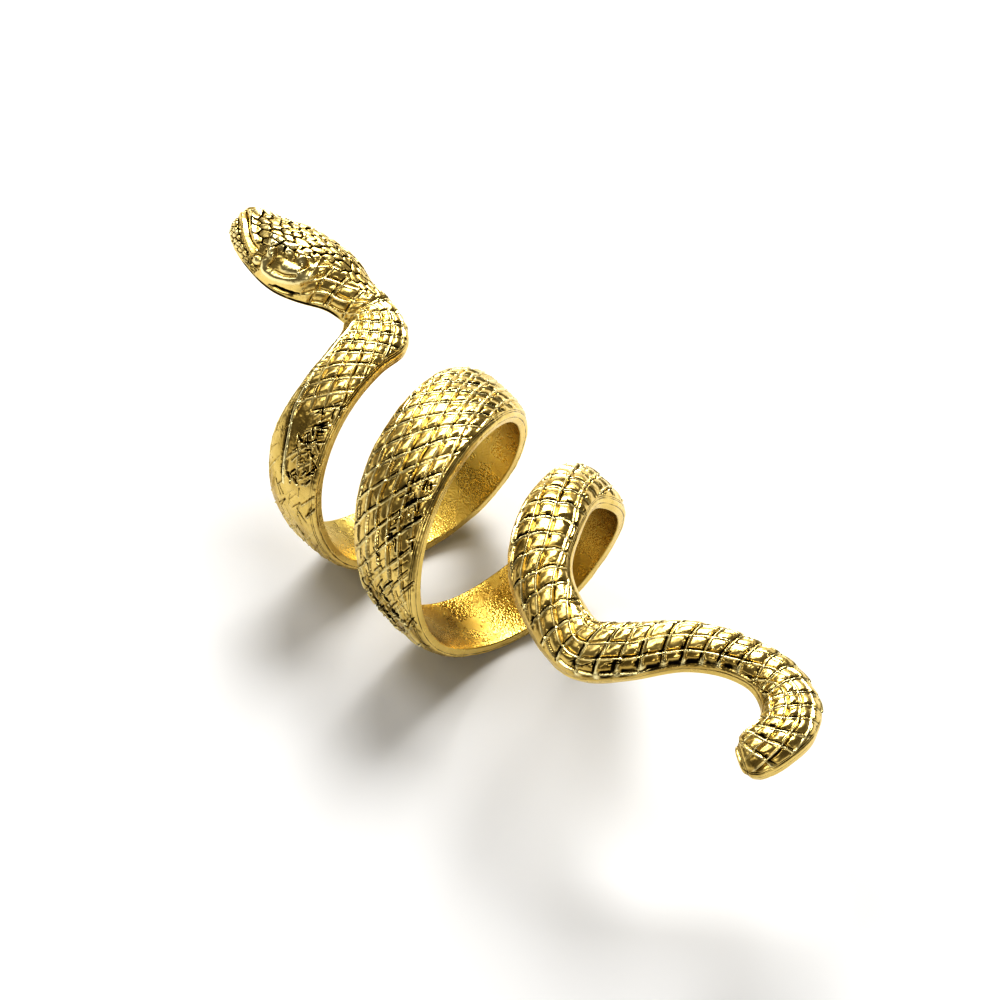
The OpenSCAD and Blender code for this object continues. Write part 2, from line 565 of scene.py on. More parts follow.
    def _tops(self, cells: Cells) -> Array:
        """Work out the raised and tilted tops of the scales.

        Args:
            cells: Where each place lies among the lines.

        Returns:
            The relief in mm, without threads and grooves.
        """
        i = np.floor(cells.cross)
        j = np.floor(cells.row)
        along = cells.cross - i - 0.5
        across = cells.row - j - 0.5
        pillow = (np.cos(np.pi * along) * np.cos(np.pi * across)) ** self.pillow_power
        away = 1 - bell(np.minimum(np.abs(cells.cross_gap), np.abs(cells.row_gap)), self.facet_gap)
        relief = self.pillow_h * self.lively.at(i, j) * pillow
        relief += self.cross_tilt * along + self.row_tilt * across
        facets = self.cross_facet.at(i, j) * along + self.row_facet.at(i, j) * across
        return relief + self.facet * away * facets

    def add(self, coat: Coat, kept: Array) -> None:
        """Add the scales.

        Args:
            coat: The relief and finish, changed in place.
            kept: How much of the scales is left at each place, from 0 to 1.
        """
        u = coat.u
        v = coat.v
        cells = self._cells(coat)
        i = np.floor(cells.cross)
        j = np.floor(cells.row)
        sharp_c = self.cross_sharp.at(np.round(cells.cross), j)
        sharp_r = self.row_sharp.at(i, np.round(cells.row))
        low = self.low_u.at(u) * self.low_v.at(-v)
        accent = 1 - outside_all(self.accents, u, v)

        wide = self.thread_w * (1 + self.low_thread * low)
        thread_c = bell(cells.cross_gap - self.aside, wide) * sharp_c
        thread_r = bell(cells.row_gap + self.aside, self.thread_w) * sharp_r
        thread = np.maximum(thread_c, thread_r)

        cut_c = bell(cells.cross_gap + self.aside, self.groove_w) * sharp_c
        cut_c *= 1 + self.accent_groove * accent
        cut_r = bell(cells.row_gap - self.aside, self.groove_w) * sharp_r * self.row_groove
        # a dent beside each cross line, with painted shade in it
        shaded_chip = bell(cells.cross_gap + self.chip_aside, self.chip_w)
        shaded_chip *= soft_step(*self.chip_from, self.chip_noise.at(u, v))
        shaded_chip *= self.plain_chip + (1 - self.plain_chip) * accent
        # painted shade over the lowest row of the tail's scales
        shaded = low * soft_step(*self.low_from, cells.cross - i) * self.low_shade.at(i, j)
        cut = np.max([cut_c, cut_r, shaded_chip, shaded], axis=0)
        cut *= (1 - np.clip(thread, 0, 1)) * outside_all(self.quiet, u, v)

        left = soft_step(0, self.soft_margin, v + coat.edge - self.left_margin.at(u))
        right = soft_step(0, self.soft_margin, coat.edge - self.right_margin.at(u) - v)
        keep = self.depth.at(u) * left * right * kept
        relief = self._tops(cells) + self.thread_h * thread - self.groove_d * cut - self.sunk
        # painted shade in the grooves, dents and the tail's lowest row
        shade_strength = self.plain_shade + (1 - self.plain_shade) * np.maximum(accent, cut_c)
        coat.relief += relief * keep
        coat.dark += cut * shade_strength * keep
        # painted highlight on the threads
        coat.painted_highlight += np.clip(thread, 0, 1) * keep


@dataclass(frozen=True)
class Pebbles:
    """The raised pebbles of the head, and the beads of its lip."""

    length: float
    width: float
    raised: float = 0.15
    seed: int = 23
    origin: tuple[int, int] = (10, 20)
    stagger: float = 0.5
    play: float = 0.5
    tall: Pair = (0.5, 0.7)
    dome: Pair = (0.02, 0.24)
    peak: float = 1.15
    slope: float = 0.5
    gap: Pair = (0.07, 0.22)

    def height(self, u: Array, v: Array) -> tuple[Array, Array]:
        """Work out the relief of the pebbles.

        Args:
            u: Length along the snake in mm.
            v: Arc across the snake in mm.

        Returns:
            The relief in mm, and how deep between the pebbles each place lies from 0 to 1.
        """
        x = u / self.length + self.origin[0]
        y = v / self.width + self.origin[1]
        i = np.floor(x)
        j = np.floor(y)
        first = np.full(u.shape, np.inf)
        second = np.full(u.shape, np.inf)
        tall = np.zeros(u.shape)
        for di in (-1, 0, 1):
            for dj in (-1, 0, 1):
                ci = i + di
                cj = j + dj
                cx = ci + self.stagger * np.mod(cj, 2) + self.play * cell_value(ci, cj, self.seed)
                cy = cj + (1 - self.play) / 2 + self.play * cell_value(ci, cj, self.seed + 1)
                gap = np.hypot(x - cx, y - cy)
                nearer = gap < first
                second = np.where(nearer, first, np.minimum(second, gap))
                tall = np.where(nearer, cell_value(ci, cj, self.seed + 2), tall)
                first = np.where(nearer, gap, first)
        between = second - first
        dome = soft_step(*self.dome, between) * (self.peak - self.slope * first)
        relief = self.raised * (self.tall[0] + self.tall[1] * tall) * dome
        return relief, 1 - soft_step(*self.gap, between)


@dataclass(frozen=True)
class Stroke:
    """A ridge or groove along a short line on the skin, as (u, v) points in mm; a groove gets painted
    shade.
    """

    points: tuple[Pair, ...]
    width: float
    height: float
    shade_strength: float = 1.0
    full_dark: float = 0.12
    reach: float = 3.0

    def add(self, coat: Coat) -> None:
        """Add the stroke to the relief and, for a groove, painted shade to the dark places.

        Args:
            coat: The relief and finish, changed in place.
        """
        line = np.array(self.points)
        if len(line) > 2:
            line = smooth_curve(line, LINE_STEPS)
        reach = self.reach * self.width
        near = (coat.u[:, 0] > line[:, 0].min() - reach) & (coat.u[:, 0] < line[:, 0].max() + reach)
        rows = np.flatnonzero(near)
        if not len(rows):
            return
        part = slice(rows[0], rows[-1] + 1)
        p = np.stack([coat.u[part], coat.v[part]], axis=2)
        gap = np.full(p.shape[:2], np.inf)
        for a, b in zip(line, line[1:]):
            span = b - a
            t = np.clip(((p - a) @ span) / max(span @ span, TINY), 0, 1)
            gap = np.minimum(gap, np.linalg.norm(p - a - t[..., None] * span, axis=2))
        shape = bell(gap, self.width)
        coat.relief[part] += self.height * shape
        # painted shade along the groove
        if self.height < 0:
            shape *= min(1.0, -self.height / self.full_dark) * self.shade_strength
            coat.dark[part] = np.maximum(coat.dark[part], shape)


@dataclass(frozen=True)
class Scratches:
    """A zone of short random strokes cut into the skin, with painted shade in them."""

    u: Pair
    v: Pair
    count: int
    length: float
    slopes: tuple[float, ...]
    width: float
    depth: float
    seed: int
    shade_strength: float
    slope_play: float = 0.25
    length_play: Pair = (0.5, 1.2)
    depth_play: Pair = (0.5, 1.3)
    width_play: Pair = (0.7, 1.1)
    # the raised lip that some scratches have beside them, in widths and depths of the scratch
    lip_chance: float = 0.6
    lip_aside: Pair = (1.7, 0.4)
    lip_height: float = 0.7

    def strokes(self) -> list[Stroke]:
        """Draw the scratches of the zone at random.

        Returns:
            The grooves, some with a raised lip beside them.
        """
        random = np.random.default_rng(self.seed)
        made = []
        for k in range(self.count):
            middle = (random.uniform(*self.u), random.uniform(*self.v))
            slope = self.slopes[k % len(self.slopes)] + random.uniform(-self.slope_play, self.slope_play)
            half = self.length * random.uniform(*self.length_play) / 2
            du = half * math.cos(math.atan(slope))
            dv = half * math.sin(math.atan(slope))
            ends = ((middle[0] - du, middle[1] - dv), (middle[0] + du, middle[1] + dv))
            depth = self.depth * random.uniform(*self.depth_play)
            made.append(Stroke(ends, self.width * random.uniform(*self.width_play), -depth, self.shade_strength))
            if random.uniform() < self.lip_chance:
                aside = [self.width * share for share in self.lip_aside]
                beside = tuple((a + aside[0], b + aside[1]) for a, b in ends)
                made.append(Stroke(beside, self.width, self.lip_height * depth))
        return made


@dataclass
class Head:
    """The folds, lips, eyes and large scales of the head, softer on the far side."""

    pebbles: Pebbles = Pebbles(length=1.05, width=0.56)
    back_pebbles: Pebbles = Pebbles(length=1.1, width=0.52, raised=0.13, seed=41)
    lip_beads: Pebbles = Pebbles(length=0.58, width=0.46, raised=0.2, seed=29)
    # the smooth lip ridge from the nose to the eye
    lip: Stroke = Stroke(((0.1, -0.35), (1.4, -1.35), (2.5, -2.25), (3.5, -3.05), (4.1, -3.3)), 0.18, 0.22)
    ridges: tuple[Stroke, ...] = (
        # the smooth snout plate over the nose
        Stroke(((0.3, 0.0), (0.5, 0.6), (1.0, 1.2)), 0.26, 0.14),
        # the cheek fold that bends round the smooth cheek
        Stroke(((5.0, -3.4), (5.3, -4.0), (6.1, -4.2), (7.0, -4.0), (7.9, -3.5), (8.6, -2.9)), 0.38, 0.30),
        # long raised scales above the lip ridge, bright with the painted highlight on high places
        Stroke(((0.8, -0.15), (1.5, -0.6)), 0.2, 0.2),
        Stroke(((1.75, -0.8), (2.4, -1.35)), 0.2, 0.2),
        Stroke(((2.65, -1.6), (3.4, -2.15)), 0.2, 0.2),
        Stroke(((4.3, -1.0), (4.9, -1.9)), 0.20, 0.20),
        # edge lines of the jaw
        Stroke(((3.2, -4.0), (4.7, -4.3)), 0.09, 0.10),
        Stroke(((4.6, -5.0), (4.8, -4.3)), 0.09, 0.12),
    )
    # grooves with painted shade along them
    grooves: tuple[Stroke, ...] = (
        Stroke(((0.4, -0.15), (1.8, -1.2), (3.0, -2.2), (4.0, -2.75)), 0.07, -0.20),
        Stroke(((0.1, -0.75), (1.2, -1.75), (2.4, -2.75), (3.4, -3.45)), 0.06, -0.14),
        Stroke(((3.3, -4.2), (4.5, -4.5)), 0.08, -0.20),
        Stroke(((3.6, -4.5), (4.4, -4.75)), 0.06, -0.16),
        # the recess under the fold, with painted shade in it
        Stroke(((5.9, -5.2), (6.9, -5.2), (8.1, -4.7)), 0.07, -0.14, 0.9),
        Stroke(((6.4, -5.15), (7.5, -5.0)), 0.20, -0.18, 1.0),
        # the line between the cheek and the fold, and the lines round the large scales
        Stroke(((6.0, -3.75), (6.7, -3.72), (7.4, -3.4)), 0.10, -0.18, 0.4),
        Stroke(((5.45, -3.6), (5.6, -3.0), (5.5, -2.4), (5.2, -2.0)), 0.06, -0.18, 0.55),
        Stroke(((6.0, -2.1), (6.4, -2.5), (6.7, -2.6)), 0.05, -0.16, 0.55),
        Stroke(((6.9, -2.6), (6.8, -2.0), (6.5, -1.6)), 0.05, -0.16, 0.55),
        Stroke(((7.5, -3.0), (7.9, -2.4), (7.7, -1.9)), 0.05, -0.16, 0.55),
        Stroke(((4.6, -3.1), (4.8, -2.7), (4.7, -2.3)), 0.05, -0.16),
    )
    bumps: tuple[Stroke, ...] = (
        # the smooth cheek and the large scales above it
        Stroke(((6.6, -3.2), (7.5, -3.0)), 0.42, 0.26),
        Stroke(((5.0, -2.4), (5.25, -2.7)), 0.32, 0.26),
        Stroke(((6.0, -1.75), (6.2, -2.0)), 0.30, 0.24),
        Stroke(((5.2, -1.4), (5.6, -1.5)), 0.30, 0.24),
        Stroke(((7.2, -2.1), (7.4, -2.3)), 0.30, 0.24),
        Stroke(((8.2, -2.3), (8.5, -2.2)), 0.26, 0.18),
    )
    eye: Pair = (4.3, -3.6)
    eye_r: float = 0.34
    eye_h: float = 0.22
    eye_length: float = 0.02
    # the eye's socket: a ring-shaped groove with painted shade in it
    socket_points: int = 13
    socket_r: float = 0.51
    socket_w: float = 0.10
    socket_d: float = 0.14
    socket_shade: float = 0.6
    # length along the snake up to which the head adds anything
    end: float = 15.6
    # the pebbles on top lie above the lip as far as the end of the snout, and then inside the top's edge
    snout_end: Pair = (3.6, 4.4)
    above_lip: Pair = (0.7, 0.95)
    top_edge: Pair = (1.9, 2.5)
    narrows_from: float = 6.5
    narrowing: float = 0.28
    top: Span = Span((0.5, 1.2), (8.1, 9.3))
    # the fine pebbles of the head's back and of the neck, inside a leaning edge
    back: Span = Span((6.1, 7.1), (13.6, 14.6))
    back_edge: Pair = (-1.35, -0.9)
    back_middle: float = 10.0
    back_lean: float = 0.12
    # the beads below the lip, and how the folds fade on the far side
    beads_from: Pair = (0.25, 0.5)
    beads_end: Pair = (3.7, 4.2)
    far_side: float = 0.35
    far_from: Pair = (0.5, 1.5)
    # painted highlight on the high places, but not on the lip
    highlight_h: Pair = (0.08, 0.25)
    highlight_end: Pair = (9.0, 11.0)
    highlight_full: float = 0.8
    lip_w: float = 0.3
    lip_fade: Pair = (3.9, 4.3)
    # the dark line on the wall under the head
    jaw: Span = Span((2.0, 4.0), (12.0, 14.0))
    jaw_line: Pair = (0.05, 0.2)

    def _eye(self) -> tuple[Stroke, Stroke]:
        """Make the eye.

        Returns:
            A ring-shaped groove with painted shade in it, and a bump inside it.
        """
        u, v = self.eye
        ring = tuple((u + self.socket_r * math.cos(t), v + self.socket_r * math.sin(t))
                     for t in np.linspace(0, 2 * math.pi, self.socket_points))
        ball = ((u, v), (u + self.eye_length, v))
        return (Stroke(ring, self.socket_w, -self.socket_d, self.socket_shade),
                Stroke(ball, self.eye_r, self.eye_h))

    def add(self, coat: Coat) -> None:
        """Add the head's pebbles and folds, with painted shade in their hollows and painted highlights on
        the high places.

        Args:
            coat: The relief and finish, changed in place.
        """
        part = slice(0, int(np.searchsorted(coat.u[:, 0], self.end)))
        u = coat.u[part]
        v = coat.v[part]
        across = np.abs(v)
        relief = coat.relief[part]
        dark = coat.dark[part]
        painted_highlight = coat.painted_highlight[part]
        lip_line = np.array(self.lip.points)
        below = across - np.interp(u, lip_line[:, 0], -lip_line[:, 1])

        behind = soft_step(*self.snout_end, u)
        past = soft_step(*self.top_edge, across + self.narrowing * np.maximum(u - self.narrows_from, 0))
        top = soft_step(*self.above_lip, -below) * (1 - behind) + (1 - past) * behind
        back = self.back_cover(u, v)
        strip = soft_step(*self.beads_from, below) * (1 - soft_step(*self.beads_end, u))
        covers = (
            (self.pebbles, top * self.top.at(u) * (1 - back)),
            (self.back_pebbles, back),
            (self.lip_beads, strip),
        )
        for pebbles, cover in covers:
            raised, between = pebbles.height(u, v)
            relief += raised * cover
            # painted shade between the pebbles
            np.maximum(dark, between * cover, out=dark)

        folds = Coat(u, -across, coat.edge[part], np.zeros(u.shape), dark, painted_highlight)
        for stroke in (self.lip, *self.ridges, *self.grooves, *self.bumps, *self._eye()):
            stroke.add(folds)
        relief += folds.relief * (1 - (1 - self.far_side) * soft_step(*self.far_from, v))
        # painted highlight: pale colour on the high places
        high = soft_step(*self.highlight_h, relief) * (1 - soft_step(*self.highlight_end, u))
        on_lip = bell(below, self.lip_w) * (1 - soft_step(*self.lip_fade, u))
        painted_highlight[:] = np.maximum(painted_highlight, self.highlight_full * high) * (1 - on_lip)

    def back_cover(self, u: Array, v: Array) -> Array:
        """Return how much of the head's back and of the neck has fine pebbles, from 0 to 1."""
        return self.back.at(u) * soft_step(*self.back_edge, v - self.back_lean * (u - self.back_middle))

    def jaw_shade(self, u: Array, below: Array) -> Array:
        """Return how dark the wall is under the head, from the mm below the edge of the crown."""
        return soft_step(*self.jaw_line, below) * self.jaw.at(u)


@dataclass
class Wear:
    """The worn and scratched places, the patches of painted shade, the first band's crease and a line on
    the tail.
    """

    crease: Stroke = Stroke(((18.0, -2.1), (21.5, -1.9), (25.0, -1.6), (27.0, -1.3), (29.5, -0.6),
                             (33.0, -0.3)), 0.13, 0.12)
    # the groove beside the crease, with painted shadow in it
    shadow_aside: float = 0.3
    shadow_w: float = 0.10
    shadow_d: float = 0.08
    # the scales end at the crease
    crease_side: Pair = (-0.1, 0.25)
    crease_reach: Span = Span((15.5, 18.0), (33.0, 36.0))
    # a groove on the tail with painted shade in it
    tail_line: Stroke = Stroke(((157.5, -0.95), (160.6, -1.08), (165.0, -1.33), (169.0, -1.58),
                                (173.0, -1.75)), 0.06, -0.10, 0.7)
    # heights over which the painted highlight on raised marks rises
    highlight_h: Pair = (0.03, 0.07)
    patches: tuple[Patch, ...] = (
        Patch(28.0, -0.2, 2.0, 0.9, 0.95), Patch(35.0, 0.5, 3.0, 2.6, 0.8),
        Patch(98.5, 0.3, 3.0, 1.6, 0.4),
    )
    # patches of painted shade, which turn the gold darker brown
    shade_patches: tuple[Patch, ...] = (
        Patch(17.5, 1.5, 1.8, 1.0, 0.5), Patch(27.5, 0.0, 3.8, 2.0, 0.6),
        Patch(31.5, 1.5, 2.5, 1.5, 0.5), Patch(36.5, -2.1, 4.5, 0.9, 0.7),
        Patch(39.0, 1.2, 3.0, 1.0, 0.5), Patch(90.5, -0.8, 4.5, 2.2, 0.3),
        Patch(91.0, 2.2, 3.5, 1.3, 0.4), Patch(99.8, -1.8, 2.8, 2.0, 1.0),
        Patch(101.2, 1.8, 2.2, 1.6, 0.85), Patch(101.0, 5.45, 5.0, 1.2, 0.9),
        Patch(110.0, 5.4, 10.0, 1.2, 0.9), Patch(146.0, 0.3, 9.0, 3.0, 0.45),
        Patch(151.0, -1.8, 6.0, 0.9, 0.6), Patch(165.0, -2.4, 8.0, 1.0, 0.75),
        Patch(185.0, 1.7, 1.6, 1.0, 0.6),
    )
    zones: tuple[Scratches, ...] = (
        Scratches((24.5, 28.5), (0.7, 2.4), 22, 0.7, (-0.9, 0.5, -2.0), 0.07, 0.16, 31, 0.9),
        Scratches((28.6, 32.5), (0.2, 2.5), 40, 0.7, (-1.6, -0.7, 0.3, 1.2), 0.07, 0.16, 32, 0.8),
        Scratches((19.0, 33.0), (-3.0, -1.2), 34, 1.3, (0.1, -0.4, -0.8), 0.06, 0.10, 36, 0.5),
        Scratches((33.0, 43.0), (-2.6, 2.6), 60, 1.4, (-0.9, 0.5, -0.2), 0.06, 0.13, 33, 0.75),
        Scratches((158.0, 173.0), (-1.8, -1.2), 30, 0.5, (-0.1, 0.5), 0.06, 0.13, 40, 1.0),
        Scratches((86.6, 93.5), (0.5, 3.3), 34, 0.7, (-1.1, 0.3), 0.08, 0.16, 37, 0.9),
        Scratches((94.5, 104.0), (-3.0, 3.2), 64, 1.7, (-1.0, -0.8, 0.4), 0.055, 0.14, 34, 0.85),
        Scratches((96.5, 101.0), (-3.0, -1.0), 7, 2.4, (0.35,), 0.09, 0.18, 38, 0.9),
        Scratches((98.0, 101.5), (-0.6, 3.2), 9, 2.2, (-0.9, 0.5), 0.07, 0.15, 39, 0.7),
        Scratches((97.8, 101.6), (-2.6, 2.2), 16, 2.4, (0.9,), 0.15, 0.15, 45, 0.9),
    )

    def keep(self, u: Array, v: Array) -> Array:
        """Work out how much of the scales is left at each place.

        Args:
            u: Length along the snake in mm.
            v: Arc across the snake in mm.

        Returns:
            From 0 on a worn place or past the crease to 1.
        """
        line = smooth_curve(np.array(self.crease.points), LINE_STEPS)
        inside = soft_step(*self.crease_side, v - np.interp(u, line[:, 0], line[:, 1]))
        return outside_all(self.patches, u, v) * (1 - self.crease_reach.at(u) * (1 - inside))

    def add(self, coat: Coat) -> None:
        """Add the crease, the tail's line and the scratches, with painted shade in their grooves and
        painted highlights on their high places.

        Args:
            coat: The relief and finish, changed in place.
        """
        marks = replace(coat, relief=np.zeros(coat.u.shape))
        beside = tuple((a, b - self.shadow_aside) for a, b in self.crease.points)
        shadow = Stroke(beside, self.shadow_w, -self.shadow_d)
        scratches = [stroke for zone in self.zones for stroke in zone.strokes()]
        for stroke in (self.crease, shadow, self.tail_line, *scratches):
            stroke.add(marks)
        coat.relief += marks.relief
        # painted highlight on the raised marks
        np.maximum(coat.painted_highlight, soft_step(*self.highlight_h, marks.relief), out=coat.painted_highlight)


@dataclass
class Rim:
    """The plain edge of the bands: a low bead with one fine line outside it and two inside it, with
    painted shade in the lines.
    """

    starts: Pair = (15.0, 18.0)
    lines: tuple[float, ...] = (0.15, 0.62, 0.78)
    line_w: float = 0.05
    line_d: float = 0.06
    shade_strength: float = 0.7
    bead: float = 0.31
    bead_h: float = 0.05
    tip_u: float = 187.0

    def add(self, coat: Coat) -> None:
        """Add the bead and the lines along both edges and round the tip of the tail.

        Args:
            coat: The relief and finish, changed in place.
        """
        shown = soft_step(*self.starts, coat.u)
        for side in Side:
            inset = np.minimum(coat.edge - side.value * coat.v, self.tip_u - coat.u)
            for place in self.lines:
                line = bell(inset - place, self.line_w) * shown
                coat.relief -= self.line_d * line
                # painted shade in the fine lines
                np.maximum(coat.dark, self.shade_strength * line, out=coat.dark)
            coat.relief += self.bead_h * bell(inset - self.bead, self.bead) * shown


@dataclass(frozen=True)
class Mottle:
    """Soft noise in a finish: its scale and detail, and the two ranges that it is moved between."""

    scale: float
    detail: float
    low: float
    high: float
    to_low: float
    to_high: float


@dataclass(frozen=True)
class NodeMaker:
    """Adds nodes to the tree of one material and wires them up."""

    tree: bpy.types.NodeTree

    def add(self, kind: str, output: str, inputs: dict, **settings: str | bool) -> Socket:
        """Add a node.

        Args:
            kind: Type of the node, as Blender names it after ShaderNode.
            output: Name of the output to return.
            inputs: A socket or a constant for each input, by its name or number.
            settings: The node's own settings, by name.

        Returns:
            The output.
        """
        node = self.tree.nodes.new("ShaderNode" + kind)
        for name, value in settings.items():
            setattr(node, name, value)
        for key, value in inputs.items():
            if isinstance(value, Socket):
                self.tree.links.new(value, node.inputs[key])
            else:
                node.inputs[key].default_value = value
        return node.outputs[output]

    def attribute(self, name: str) -> Socket:
        """Return the value of one of the mesh's own attributes."""
        return self.add("Attribute", "Fac", {}, attribute_name=name)

    def noise(self, scale: float, detail: float) -> Socket:
        """Return noise over the object's own coordinates."""
        place = self.add("TexCoord", "Object", {})
        return self.add("TexNoise", "Fac", {"Vector": place, "Scale": scale, "Detail": detail})

    def spread(self, value: Socket, low: float, high: float, to_low: float, to_high: float) -> Socket:
        """Return a value moved from one range to another."""
        limits = {"From Min": low, "From Max": high, "To Min": to_low, "To Max": to_high}
        return self.add("MapRange", "Result", {"Value": value, **limits})

    def mottled(self, look: Mottle) -> Socket:
        """Return soft noise in its own range."""
        noise = self.noise(look.scale, look.detail)
        return self.spread(noise, look.low, look.high, look.to_low, look.to_high)

    def combine(self, operation: str, a: Socket, b: Socket | float) -> Socket:
        """Return the result of a sum on two values, held between 0 and 1."""
        return self.add("Math", "Value", {0: a, 1: b}, operation=operation, use_clamp=True)

    def blend(self, share: Socket, a: Socket | Triple, b: Triple) -> Socket:
        """Return a colour between two."""
        first = a if isinstance(a, Socket) else (*a, 1)
        return self.add("Mix", "Result", {"Factor": share, "A": first, "B": (*b, 1)}, data_type="RGBA")


@dataclass(frozen=True)
class GoldFinish:
    """Gold plating: polished on the raised scales, satin and grained inside, with painted shade in the
    grooves and dark places, painted highlights on the high places and patches of painted shade.
    """

    name: str = "gold_with_painted_light"
    bright: Triple = (0.86, 0.66, 0.25)
    # pale colour of the painted highlight
    pale: Triple = (1.0, 0.89, 0.50)
    warm: Triple = (0.55, 0.40, 0.09)
    # darker brown of the patches of painted shade
    deep: Triple = (0.39, 0.255, 0.055)
    # near-black colour of the painted shade
    shade: Triple = (0.016, 0.010, 0.003)
    polished: float = 0.265
    satin: float = 0.25
    grain_mm: float = 0.17
    grain_depth_mm: float = 0.06
    outer_grain: float = 0.12
    cloud: Mottle = Mottle(420, 3, 0.35, 0.65, 0.0, 0.35)
    warmth: float = 0.8
    blotch: Mottle = Mottle(500, 3, 0.35, 0.6, 0.4, 1.0)
    speck: Mottle = Mottle(900, 2, 0.3, 0.7, 0.6, 1.3)
    smudge: Mottle = Mottle(700, 4, 0.3, 0.7, -0.04, 0.07)
    # range of the speckled dark mask that goes from plain gold to full painted shade
    shade_range: Pair = (0.3, 0.7)

    def build(self) -> bpy.types.Material:
        """Make the node material.

        Returns:
            The finished material.
        """
        material = bpy.data.materials.new(self.name)
        material.use_nodes = True
        make = NodeMaker(material.node_tree)
        groove = make.attribute("groove")
        satin = make.attribute("satin")
        warmth = make.combine("ADD", satin, make.mottled(self.cloud))
        warmth = make.combine("MULTIPLY", warmth, self.warmth)
        # painted shade: darker brown in the patches, unevenly
        patch_shade = make.combine("MULTIPLY", make.attribute("patch_shade"), make.mottled(self.blotch))
        # painted shade: grooves, recesses and dark lines turn towards the near-black shade colour, with
        # specks
        shade_strength = make.combine("MULTIPLY", groove, make.mottled(self.speck))
        body = make.blend(patch_shade, make.blend(warmth, self.bright, self.warm), self.deep)
        # painted highlight: pale colour on threads and high places
        body = make.blend(make.attribute("painted_highlight"), body, self.pale)
        colour = make.blend(make.spread(shade_strength, *self.shade_range, 0, 1), body, self.shade)

        dull = make.spread(make.combine("MAXIMUM", satin, groove), 0, 1, self.polished, self.satin)
        roughness = make.add("Math", "Value", {0: dull, 1: make.mottled(self.smudge)}, operation="ADD")
        bump = make.add("Bump", "Normal", {
            "Distance": self.grain_depth_mm * MM,
            "Strength": make.spread(satin, 0, 1, self.outer_grain, 1),
            "Height": make.noise(1 / (self.grain_mm * MM), 1),
        })
        shader = material.node_tree.nodes["Principled BSDF"]
        shader.inputs["Metallic"].default_value = 1.0
        for name, value in (("Base Color", colour), ("Roughness", roughness), ("Normal", bump)):
            material.node_tree.links.new(value, shader.inputs[name])
        return material


@dataclass
class SnakeRing:
    """The whole scaled snake, built as one skin and cut into pieces along its length."""

    route: Route
    finish: GoldFinish = GoldFinish()
    scales: Scales = field(default_factory=Scales)
    head: Head = field(default_factory=Head)
    wear: Wear = field(default_factory=Wear)
    rim: Rim = field(default_factory=Rim)
    # the unevenness of the casting, as heights in mm and the noise that each one scales
    cast: tuple[tuple[float, Noise], ...] = (
        (0.03, Noise(51, 1.7)),
        (0.017, Noise(52, 0.42)),
        (0.0119, Noise(53, 0.22)),
    )
    wall_from: Pair = (-0.1, 0.1)
    wall_fade: float = 0.85
    wall_satin: float = 0.25
    worn_satin: float = 0.3
    # the pieces from the head on, each with the length along the snake where it ends, in mm
    pieces: tuple[tuple[str, float], ...] = (
        ("snake_head", 13.0),
        ("first_band", 44.0),
        ("first_back_band", 75.0),
        ("second_band", 104.0),
        ("second_back_band", 135.0),
        ("third_band", 159.0),
        ("tail", math.inf),
    )

    def _relief(self, skin: Skin) -> tuple[Array, dict[str, Array]]:
        """Work out the relief and the finish of the whole skin.

        Args:
            skin: The bare body.

        Returns:
            The relief in mm, and the values of the finish by name, from 0 to 1.
        """
        u = np.repeat(skin.u[:, None], skin.across.shape[1], axis=1)
        v = skin.across
        coat = Coat(u, v, skin.edge, np.zeros(u.shape), np.zeros(u.shape), np.zeros(u.shape))
        kept = self.wear.keep(u, v)
        self.scales.add(coat, kept * (1 - self.head.back_cover(u, v)))
        self.wear.add(coat)
        self.head.add(coat)
        self.rim.add(coat)
        for height, noise in self.cast:
            coat.relief += height * noise.at(u, v)

        below = np.abs(v) - skin.edge
        on_wall = soft_step(*self.wall_from, below)
        fade = skin.outside * (1 - self.wall_fade * on_wall)
        satin = np.where(below > skin.rim_h, 1.0, self.wall_satin * on_wall)
        # surface values: painted shade in dark places, painted highlight on high places, patches of
        # painted shade, and the satin finish
        values = {
            "groove": np.maximum(coat.dark * fade, self.head.jaw_shade(u, below) * skin.outside),
            "painted_highlight": coat.painted_highlight * fade,
            "satin": np.maximum(satin, self.worn_satin * (1 - kept) * (1 - on_wall)),
            "patch_shade": 1 - outside_all(self.wear.shade_patches, u, v),
        }
        return coat.relief * fade * skin.shrink[:, None] ** 2, values

    def build(self) -> list[bpy.types.Object]:
        """Build every piece of the snake.

        Returns:
            The pieces, from the head to the tail.
        """
        skin = Skin(self.route)
        relief, values = self._relief(skin)
        points = skin.points + skin.normals * relief[..., None]
        points[..., 2] = np.maximum(points[..., 2], 0)
        normals = net_normals(points)
        material = self.finish.build()
        built = []
        start = -math.inf
        for name, end in self.pieces:
            rows = np.flatnonzero((skin.u >= start) & (skin.u <= end))
            part = slice(rows[0], min(rows[-1] + 2, len(skin.u)))
            start = end
            piece = net_piece(name, points[part] * MM, normals[part],
                              {key: value[part] for key, value in values.items()})
            piece.data.materials.append(material)
            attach(piece, "root")
            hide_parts("snake_ring")
            built.append(piece)
        return built


